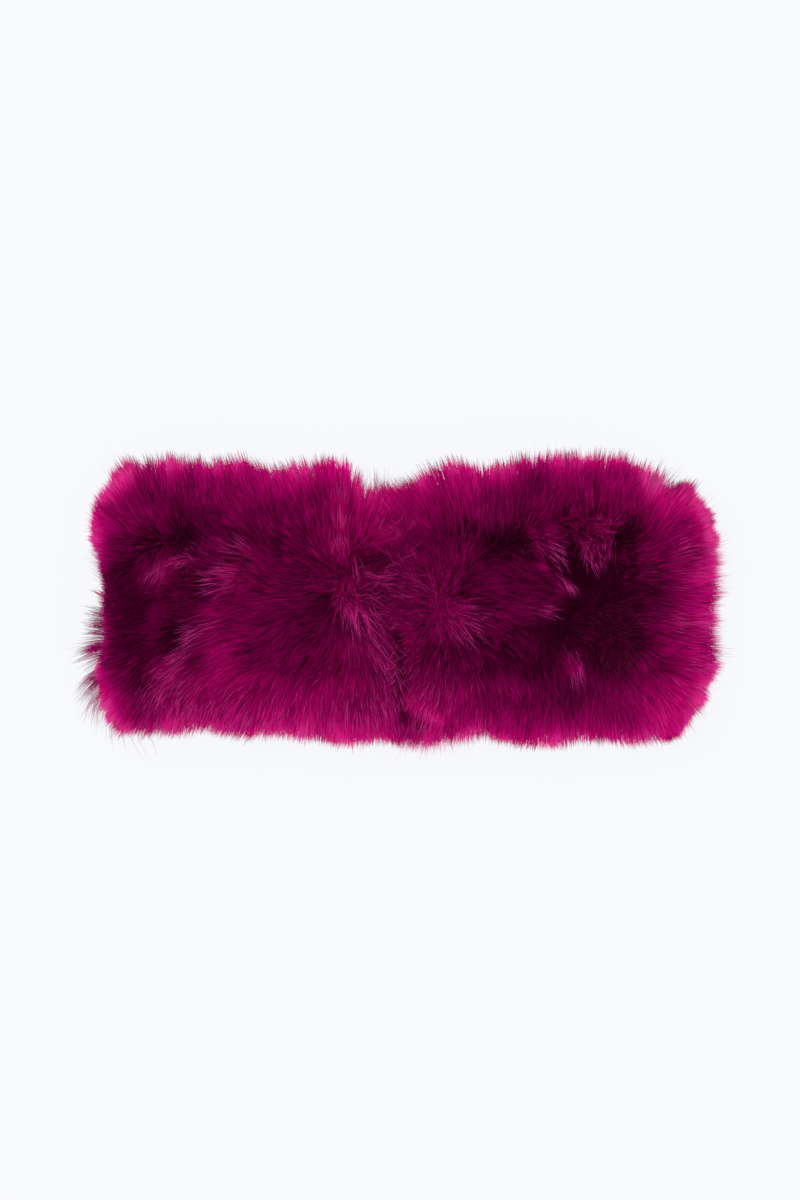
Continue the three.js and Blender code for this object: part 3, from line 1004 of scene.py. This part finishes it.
def ramp_node(tree, stops):
    ramp = new_node(tree, "ValToRGB")
    elements = ramp.color_ramp.elements
    while len(elements) > 1:
        elements.remove(elements[-1])
    elements[0].position, elements[0].color = stops[0][0], (*stops[0][1], 1)
    for position, colour in stops[1:]:
        elements.new(position).color = (*colour, 1)
    return ramp


def times(colour, factor):
    return tuple(min(1.0, part * factor) for part in colour)


def put_out(tree, shader):
    output = new_node(tree, "OutputMaterial")
    tree.links.new(shader.outputs[0], output.inputs["Surface"])


def matte_surface(tree, shade, height, strength, depth, **values):
    """A surface in a ramp's colours, with bumps of the given depth."""
    bump = new_node(tree, "Bump", Strength=strength, Distance=depth)
    tree.links.new(height, bump.inputs["Height"])
    surface = new_node(tree, "BsdfPrincipled", **values)
    tree.links.new(shade.outputs[0], surface.inputs["Base Color"])
    tree.links.new(bump.outputs[0], surface.inputs["Normal"])
    put_out(tree, surface)


def fibre_material():
    """Fibres: dark at the root and light at the tip, lighter or darker by each strand's tone, which carries
    painted light and shade.
    """
    material, tree = new_material("long_fibres")
    link = tree.links.new
    c = colours()
    root, middle, tip, gleam, hair, painted_glow_colour = (
        tuple(v) for v in (c.root, c.middle, c.tip, c.gleam, c.guard, c.painted_glow_colour)
    )
    uv = new_node(tree, "UVMap")
    uv.uv_map = "OFBake"
    parts = new_node(tree, "SeparateXYZ")
    link(uv.outputs[0], parts.inputs[0])
    # The dark colours hold painted shade, the bright ones painted sheen, and the tops of the light and bright
    # ones the rims' painted glow.
    dark, light, bright, guard = (ramp_node(tree, stops) for stops in (
        [(0.0, times(root, 0.3)), (0.45, times(middle, 0.14)), (1.0, times(tip, 0.14))],
        [(0.0, root), (0.35, middle), (0.74, tip), (1 - PAINTED_GLOW_SHARE, times(tip, 1.2)), (1.0, painted_glow_colour)],
        [(0.0, middle), (0.35, times(tip, 1.2)), (0.7, gleam), (0.88, gleam), (1.0, painted_glow_colour)],
        [(0.0, times(root, 0.5)), (0.7, hair), (1.0, hair)],
    ))
    for ramp in (dark, light, bright, guard):
        link(parts.outputs[1], ramp.inputs[0])
    ranges = [new_node(tree, "MapRange", From_Min=low, From_Max=high) for low, high in TONE_STEPS]
    mixers = [new_node(tree, "Mix") for _ in ranges]
    for part, mixer in zip(ranges, mixers):
        mixer.data_type = "RGBA"
        link(parts.outputs[0], part.inputs["Value"])
        link(part.outputs[0], mixer.inputs["Factor"])
    first, second, third = mixers
    link(dark.outputs[0], first.inputs["A"])
    link(light.outputs[0], first.inputs["B"])
    link(first.outputs["Result"], second.inputs["A"])
    link(bright.outputs[0], second.inputs["B"])
    link(guard.outputs[0], third.inputs["A"])
    link(second.outputs["Result"], third.inputs["B"])
    colour = third.outputs["Result"]
    surface = new_node(tree, "BsdfPrincipled", Roughness=0.55, Specular_IOR_Level=0.04)
    link(colour, surface.inputs["Base Color"])
    through = new_node(tree, "BsdfTranslucent")
    link(colour, through.inputs["Color"])
    blend = new_node(tree, "MixShader")
    blend.inputs[0].default_value = FIBRE_THROUGH
    link(surface.outputs[0], blend.inputs[1])
    link(through.outputs[0], blend.inputs[2])
    put_out(tree, blend)
    return material


def underfur_material():
    """Dense short fur: dark, with fine curled tufts, and painted shade where their bumps are low."""
    material, tree = new_material("dense_underfur")
    place = new_node(tree, "TexCoord")
    fine = new_node(tree, "TexNoise", Scale=900, Detail=3)
    tree.links.new(place.outputs["Object"], fine.inputs["Vector"])
    root = tuple(colours().root)
    # Painted shade: darker where the bumps are low.
    shade = ramp_node(tree, [(0.3, times(root, 0.2)), (0.75, times(root, 1.3))])
    tree.links.new(fine.outputs[0], shade.inputs[0])
    matte_surface(tree, shade, fine.outputs[0], 0.8, 0.8 * MM, Roughness=0.9, Specular_IOR_Level=0.05)
    return material


def knit_material():
    """Knitted backing: fine ribs along the cloth, crossed by rows of stitches, with painted shade in the
    grooves between them.
    """
    material, tree = new_material("knitted_backing")
    uv = new_node(tree, "UVMap")
    uv.uv_map = "cloth"
    ribs = new_node(tree, "TexWave", Scale=260)
    rows = new_node(tree, "TexWave", Scale=320)
    rows.bands_direction = "Y"
    height = new_node(tree, "Math")
    height.operation = "MULTIPLY"
    for k, wave in enumerate((ribs, rows)):
        tree.links.new(uv.outputs[0], wave.inputs["Vector"])
        tree.links.new(wave.outputs["Fac"], height.inputs[k])
    knit = tuple(colours().knit)
    # Painted shade: darker where the ribs and rows are low.
    shade = ramp_node(tree, [(0.0, times(knit, 0.55)), (0.8, knit)])
    tree.links.new(height.outputs[0], shade.inputs[0])
    matte_surface(tree, shade, height.outputs[0], 0.6, 0.4 * MM, Roughness=0.85)
    return material


def material_named(name, make):
    return bpy.data.materials.get(name) or make()


# ---- Pieces ----


def add_piece(name, mesh, material, panel):
    piece = bpy.data.objects.new(name, mesh)
    bpy.context.scene.collection.objects.link(piece)
    mesh.materials.append(material)
    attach(piece, BODY)
    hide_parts(PANELS[panel])
    return piece


def stretch(panel):
    """Where a panel starts at the front seam and ends at the seam underneath, counted towards its side."""
    side = SIDE[panel]
    return side * SEAM_X, loop_length() / 2 - side * SEAM_X


CLOTH = (0.234, 0.075)  # metres of cloth that the knit's UV map covers, along and across the band


def gridded(name, columns, rows, shape, close=False):
    """A grid bent to a shape: shape(u, v) gives the points, with u and v from 0 to 1."""
    bm = bmesh.new()
    bmesh.ops.create_grid(bm, x_segments=columns, y_segments=rows, size=1)
    flat = np.array([v.co for v in bm.verts])
    u, v = (flat[:, 0] + 1) / 2, (flat[:, 1] + 1) / 2
    for vert, point in zip(bm.verts, shape(u, v)):
        vert.co = point
    layer = bm.loops.layers.uv.new("cloth")
    for face in bm.faces:
        for loop in face.loops:
            loop[layer].uv = (u[loop.vert.index] * CLOTH[0], v[loop.vert.index] * CLOTH[1])
    if close:
        bmesh.ops.remove_doubles(bm, verts=bm.verts, dist=0.01 * MM)
        bmesh.ops.holes_fill(bm, edges=[e for e in bm.edges if e.is_boundary], sides=0)
        bmesh.ops.triangulate(bm, faces=[f for f in bm.faces if len(f.verts) > 4])
    bmesh.ops.recalc_face_normals(bm, faces=bm.faces)
    mesh = bpy.data.meshes.new(name)
    bm.to_mesh(mesh)
    bm.free()
    mesh.polygons.foreach_set("use_smooth", np.ones(len(mesh.polygons), bool))
    return mesh


EDGE_TURN = math.radians(95)  # how far round a turned edge the cloth goes
SHEET_DEPTH = 0.6  # share of the backing's thickness at which its sheet lies
SHEET_THICKNESS = 0.9 * MM
SHEET_SEAM = 0.5 * MM  # from a sheet's end to the seam


def make_backing(panel):
    """The knitted backing of one panel, as a sheet folded round the hollow."""
    side, (start, end) = SIDE[panel], stretch(panel)
    inner = sizes().backing * SHEET_DEPTH

    def shape(u, v):
        s = side * (start + SHEET_SEAM + u * (end - start - 2 * SHEET_SEAM))
        x, _, _ = loop_at(s)
        upper, lower = backing_edges(x)
        position, normal, *_ = place_at(s, v * (upper + lower) - lower)
        return position - normal * inner

    mesh = gridded(f"{panel}_backing", 90, 14, shape)
    piece = add_piece(f"{panel}_backing", mesh, material_named("knitted_backing", knit_material), panel)
    wall = piece.modifiers.new("wall", "SOLIDIFY")
    wall.thickness = SHEET_THICKNESS
    wall.offset = 0.0
    return piece


LINING_SHARE = 0.16  # of the ring round the underfur that runs over the inner face, at each of its two ends
LINING_GAP = 0.3 * MM
FUR_SEAM = 0.3 * MM  # from the underfur's end to the seam
FUR_LOWEST = 0.3 * MM  # above the floor
FUR_PRESSED = 0.75  # share of the underfur's depth that a hollow takes away
FUR_BUMPS = 0.12  # how uneven its depth is, as a share
FUR_AT_FOLD = 0.35  # share of its depth that it loses round a fold


def make_underfur(panel):
    """The dense fur of one panel: a closed body over the backing, pressed flat underneath."""
    side, (start, end) = SIDE[panel], stretch(panel)
    share = LINING_SHARE

    def shape(u, v):
        s = side * (start + FUR_SEAM + u * (end - start - 2 * FUR_SEAM))
        x, _, angle = loop_at(s)
        upper, lower = backing_edges(x)
        arc = sizes().edge_r * EDGE_TURN
        outer = np.clip((v - share) / (1 - 2 * share), 0, 1)
        c = outer * (upper + lower + 2 * arc) - lower - arc
        inner = np.maximum(share - v, v - (1 - share)).clip(0, None) / share
        c = c * (1 - inner) + (upper - lower) / 2 * inner
        c = np.where(inner > 0, np.clip(c, -lower, upper), c)
        position, normal, _, _, _, fan = place_at(s, c)
        dent, _, _ = near(DENTS, position[:, 0], position[:, 1])
        front = sizes().underfur * (1 - FUR_PRESSED * front_share(angle) * dent.sum(1).clip(0, 1))
        bumps = 1 + FUR_BUMPS * ripple(position[:, 0], position[:, 1], 9 * MM, 6)
        outwards = front * bumps * (1 - FUR_AT_FOLD * np.abs(np.sin(fan)))
        height = np.where(inner > 0, -0.5 * LINING_GAP, outwards)
        position = position + normal * height[:, None]
        position[:, 2] = np.maximum(position[:, 2], FUR_LOWEST)
        under = (np.cos(angle) < -0.9) & (inner == 0) & (np.abs(fan) < 0.3)
        position[:, 2] = np.where(under, FUR_LOWEST, position[:, 2])
        return position

    mesh = gridded(f"{panel}_underfur", 110, 40, shape, close=True)
    return add_piece(f"{panel}_underfur", mesh, material_named("dense_underfur", underfur_material), panel)


# Zones of the pile. Each has:
# - under: whether it is on the wall underneath
# - strands, edge, fold: its number of strands, and the shares of them on the turned edges and on the fold
# - steps, length: the stations of its strands, and their shortest and longest, as shares of the pile's length
# - tufted, locked: how strongly its strands gather in tufts and in locks
# - swing: how far the tufts and the locks lean to one side, in radians
# - guard, dark: the share of its strands that are guard hairs, and how many of these are dark
# - stray, stout: how far the guard hairs stray, and their width as a share of a strand's
# - tone: how much lighter or darker it is
# - curl, mottle: how much it curls, and differs in tone, where it is pressed down
# - pressed: how much of that pressing it takes
ZONE = dict(
    under=False, guard=0.0, dark=0.0, stray=0.3, stout=0.5, tone=0.0, curl=0.0, mottle=0.0, pressed=1.0
)
ZONES = {
    "front_pile": ZONE | dict(
        strands=29000, edge=0.0, fold=0.16, steps=LONG, length=(0.7, 0.92),
        tufted=0.28, locked=0.1, swing=0.27, guard=0.07, curl=0.15, mottle=0.14,
    ),
    "front_undercoat": ZONE | dict(
        strands=21500, edge=0.1, fold=0.16, steps=SHORT, length=(0.3, 0.7),
        tufted=0.3, locked=0.1, swing=0.3, tone=-0.1, curl=0.8, mottle=0.2, pressed=0.45,
    ),
    "rim_pile": ZONE | dict(
        strands=31500, edge=0.7, fold=0.22, steps=RIM, length=(0.86, 1.0),
        tufted=0.42, locked=0.04, swing=0.16, guard=0.04, dark=0.8, stray=0.2, tone=0.05,
    ),
    "guard_hairs": ZONE | dict(
        strands=2000, edge=1.0, fold=0.25, steps=GUARD, length=(0.92, 0.95),
        tufted=1.5, locked=0.2, swing=0.16, guard=1.0, dark=1.0, stray=0.12, stout=1.0,
    ),
    "under_pile": ZONE | dict(
        under=True, strands=16500, edge=0.4, fold=0.22, steps=LONG, length=(0.8, 1.02),
        tufted=0.35, locked=0.08, swing=0.25, guard=0.05, dark=0.7, pressed=0.0,
    ),
}


def roots(panel, zone, rng):
    """Where the strands of a zone stand on the band, as s and c."""
    side, (start, end) = SIDE[panel], stretch(panel)
    middle = FOLD_X + turn() / 2
    first, last = (middle, end) if zone["under"] else (start, middle)
    count = zone["strands"]
    on_fold = rng.random(count) < zone["fold"]
    bend = turn() / 2 * (1 if zone["under"] else -1)
    s = side * np.where(on_fold, middle + bend * rng.random(count), rng.uniform(first, last, count))
    upper, lower = backing_edges(loop_at(s)[0])
    half = np.where(rng.random(count) < 0.5, -1.0, 1.0)
    width = np.where(half > 0, upper, lower)
    share = rng.random(count)
    on_edge = rng.random(count) < zone["edge"]
    inner = width * (1 - 0.3 * share if zone["edge"] > 0.5 else share)
    share = 0.5 + 0.5 * share if zone["edge"] == 1.0 else share
    c = half * np.where(on_edge, width + sizes().edge_r * EDGE_TURN * share, inner)
    return s, c


def make_pile(panel):
    for k, (name, zone) in enumerate(ZONES.items()):
        rng = np.random.default_rng(sizes().seed * 100 + k * 10 + int(SIDE[panel] > 0))
        s, c = roots(panel, zone, rng)
        spine, normal, tone, width = strands(s, c, rng, zone["steps"], zone)
        mesh = strand_mesh(f"{panel}_{name}", spine, normal, tone, width, zone["steps"], rng)
        add_piece(mesh.name, mesh, material_named("long_fibres", fibre_material), panel)


PATCH_TUFT = 1.2  # distance between the points that a patch gathers in, as a share of the tufts'
SHEEN_HAIRS = 15  # in each tuft that catches the light, for each millimetre of its width
WISP_HEIGHT = 15 * MM  # of the wisps above the backing
WISP_ARC = 0.62  # share of a half wave that a wisp follows as it rises and lies down


def all_along(tone):
    """The same tone at every station of each strand."""
    return np.repeat(tone[:, None], len(LONG), axis=1)


def loose_patch(s, c, spread_s, spread_c, count, length, along, across, gathered, tone, rng):
    """Thin hairs that stand out beyond the pile round one place, and gather in points."""
    s = (s + spread_s * rng.uniform(-1, 1, count)) * MM
    c = (c + spread_c * rng.uniform(-1, 1, count)) * MM
    tuft_s, tuft_c, a, b = nearest_centre(s, c, PATCH_TUFT * sizes().tuft, 71)
    swing = [0.5 * (scatter(a, b, k) - 0.5) for k in (73, 79)]
    reach = length * rng.uniform(0.7, 1.05, count)
    own = [rng.normal(0, 0.1, count) + lean + both for lean, both in zip((along, across), swing)]
    spine, normal = grow(s, c, reach, *own, LONG)
    tuft, _ = grow(tuft_s, tuft_c, reach, along + swing[0], across + swing[1], LONG)
    spine += gathered * LONG[None, :, None] ** 1.5 * (tuft - spine)
    spine[:, :, 2] = np.maximum(spine[:, :, 2], FLOOR_GAP)
    width = sizes().fibre * rng.uniform(0.5, 0.8, count)
    light = np.where(tone > 0, (tone + rng.normal(0, 0.1, count)).clip(TONE_LEAST, 0.9), GUARD_TONE)
    light = all_along(light)
    light[:, -1] = GUARD_TONE if tone < 0.7 else light[:, -1]
    return spine, normal, light, width


def brushed_tuft(x, y, spread, strength, rng):
    """Hairs that stand out of the pile round one place, with painted sheen for the light they catch."""
    count = int(SHEEN_HAIRS * strength * spread)
    turned, out = rng.uniform(0, 2 * np.pi, count), spread * np.sqrt(rng.random(count))
    s, c = (x + out * np.cos(turned)) * MM, (y + out * np.sin(turned)) * MM
    own = [rng.normal(0, 0.12, count) for _ in range(2)]
    spine, normal = grow(s, c, rng.uniform(0.85, 1.1, count), *own, LONG)
    spine[:, :, 2] = np.maximum(spine[:, :, 2], FLOOR_GAP)
    # Painted sheen: light tones all along each hair.
    light = all_along(rng.uniform(0.8, TONE_TOP, count))
    return spine, normal, light, sizes().fibre * rng.uniform(0.6, 0.9, count)


def wisp(x0, y0, x1, y1, spread, count, tone, rng):
    """Light hairs that rise from one point and lie over the pile towards another."""
    count = int(count)
    start, end = (
        np.stack([x + rng.normal(0, wide, count), y + rng.normal(0, wide, count)], 1) * MM
        for x, y, wide in ((x0, y0, spread), (x1, y1, 1.6 * spread))
    )
    end = start + (end - start) * rng.uniform(0.75, 1.1, count)[:, None]
    root, normal, *_ = place_at(start[:, 0], start[:, 1])
    spine = np.repeat(root[:, None], len(LONG), axis=1)
    spine[:, :, :2] += (end - start)[:, None] * LONG[None, :, None]
    rise = WISP_HEIGHT * rng.uniform(0.85, 1.1, count)
    spine[:, :, 2] += rise[:, None] * np.sin(WISP_ARC * np.pi * LONG[None])
    light = all_along((tone + rng.normal(0, 0.08, count)).clip(0.1, TONE_TOP))
    return spine, normal, light, sizes().fibre * rng.uniform(0.5, 0.8, count)


def make_loose_hairs(panel):
    """Loose patches, brushed tufts and wisps of one panel, as one piece."""
    rng = np.random.default_rng(sizes().seed + 50 + int(SIDE[panel] > 0))
    tufts, wisps = (table[np.sign(table[:, 0] - SEAM_X / MM) == SIDE[panel]] for table in (GLEAMS, WISPS))
    parts = [loose_patch(*row, rng) for row in LOOSE[panel]]
    parts += [brushed_tuft(*row, rng) for row in tufts]
    parts += [wisp(*row, rng) for row in wisps]
    joined = (np.concatenate(part) for part in zip(*parts))
    mesh = strand_mesh(f"{panel}_loose_hairs", *joined, LONG, rng)
    add_piece(mesh.name, mesh, material_named("long_fibres", fibre_material), panel)


# ---- Operators ----


class HEADBAND_OT_backing(bpy.types.Operator):
    """Add the knitted backing of both panels"""

    bl_idname = "headband.backing"
    bl_label = "Knitted Backing"

    def execute(self, context):
        for panel in PANELS:
            make_backing(panel)
        return {"FINISHED"}


class HEADBAND_OT_underfur(bpy.types.Operator):
    """Add the dense underfur of both panels"""

    bl_idname = "headband.underfur"
    bl_label = "Dense Underfur"

    def execute(self, context):
        for panel in PANELS:
            make_underfur(panel)
        return {"FINISHED"}


class HEADBAND_OT_pile(bpy.types.Operator):
    """Add the long pile of both panels: front, rim and underside"""

    bl_idname = "headband.pile"
    bl_label = "Long Pile"

    def execute(self, context):
        for panel in PANELS:
            make_pile(panel)
            make_loose_hairs(panel)
        return {"FINISHED"}


class HEADBAND_OT_stage(bpy.types.Operator):
    """Add the plain floor, the soft studio light and the camera straight above the band"""

    bl_idname = "headband.stage"
    bl_label = "Stage"

    def execute(self, context):
        make_floor()
        make_light()
        make_camera()
        return {"FINISHED"}


FLOOR_SIZE = 6.0
FLOOR_MATT = 0.05  # share of the lamps' light that the floor gives back
FLOOR_GLOW = 0.948  # its own even light, like that of a light table


def make_floor():
    bm = bmesh.new()
    bmesh.ops.create_grid(bm, x_segments=1, y_segments=1, size=FLOOR_SIZE / 2)
    mesh = bpy.data.meshes.new("floor")
    bm.to_mesh(mesh)
    bm.free()
    floor = bpy.data.objects.new("floor", mesh)
    bpy.context.scene.collection.objects.link(floor)
    material, tree = new_material("pale_floor")
    colour = tuple(colours().floor)
    surface = new_node(
        tree, "BsdfPrincipled", Base_Color=(*times(colour, FLOOR_MATT), 1), Emission_Color=(*colour, 1),
        Emission_Strength=FLOOR_GLOW, Roughness=0.9, Specular_IOR_Level=0.0,
    )
    put_out(tree, surface)
    mesh.materials.append(material)


ROOM_LIGHT = 0.8  # strength of the even white light all round
LAMPS = (
    # name, place, size in metres, power in watts
    ("overhead_softbox", (-0.35, 0.25, 1.5), 0.9, 14.8),
    ("side_softbox", (0.9, -0.7, 1.1), 0.9, 5.0),
)


def make_light():
    scene = bpy.context.scene
    world = bpy.data.worlds.new("studio")
    world.use_nodes = True
    background = world.node_tree.nodes["Background"]
    background.inputs["Color"].default_value = (1.0, 1.0, 1.0, 1)
    background.inputs["Strength"].default_value = ROOM_LIGHT
    scene.world = world
    for name, place, size, power in LAMPS:
        light = bpy.data.lights.new(name, "AREA")
        light.shape = "SQUARE"
        light.size = size
        light.energy = power
        lamp = bpy.data.objects.new(name, light)
        lamp.location = place
        lamp.rotation_euler = (-Vector(place)).to_track_quat("-Z", "Y").to_euler()
        scene.collection.objects.link(lamp)
    scene.view_settings.view_transform = "Standard"


CAMERA_HEIGHT = 1.6
VIEW_WIDTH = 0.324  # metres that the image's short side shows at the band's middle height
IMAGE_SHAPE = 1200 / 800


def make_camera():
    data = bpy.data.cameras.new("camera")
    data.sensor_width = 36.0
    away = CAMERA_HEIGHT - MID_Z
    data.lens = data.sensor_width * away / (VIEW_WIDTH * IMAGE_SHAPE)
    data.clip_end = 20
    camera = bpy.data.objects.new("camera", data)
    camera.location = (0.0, 0.0, CAMERA_HEIGHT)
    bpy.context.scene.collection.objects.link(camera)
    bpy.context.scene.camera = camera


class HEADBAND_PT_panel(bpy.types.Panel):
    """The headband's pieces, sizes and colours"""

    bl_label = "Faux Fur Headband"
    bl_idname = "HEADBAND_PT_panel"
    bl_space_type = "VIEW_3D"
    bl_region_type = "UI"
    bl_category = "Headband"

    def draw(self, context):
        layout = self.layout
        for operator in OPERATORS:
            layout.operator(operator.bl_idname)
        for group in (context.scene.headband_sizes, context.scene.headband_colours):
            for name in group.__annotations__:
                layout.prop(group, name)


OPERATORS = (HEADBAND_OT_backing, HEADBAND_OT_underfur, HEADBAND_OT_pile, HEADBAND_OT_stage)
CLASSES = (HeadbandSizes, HeadbandColours, *OPERATORS, HEADBAND_PT_panel)


def register():
    for cls in CLASSES:
        bpy.utils.register_class(cls)
    bpy.types.Scene.headband_sizes = PointerProperty(type=HeadbandSizes)
    bpy.types.Scene.headband_colours = PointerProperty(type=HeadbandColours)


def unregister():
    del bpy.types.Scene.headband_sizes
    del bpy.types.Scene.headband_colours
    for cls in reversed(CLASSES):
        bpy.utils.unregister_class(cls)


def main():
    register()
    bpy.ops.headband.stage()
    bpy.ops.headband.backing()
    bpy.ops.headband.underfur()
    bpy.ops.headband.pile()


if __name__ == "__main__":
    main()
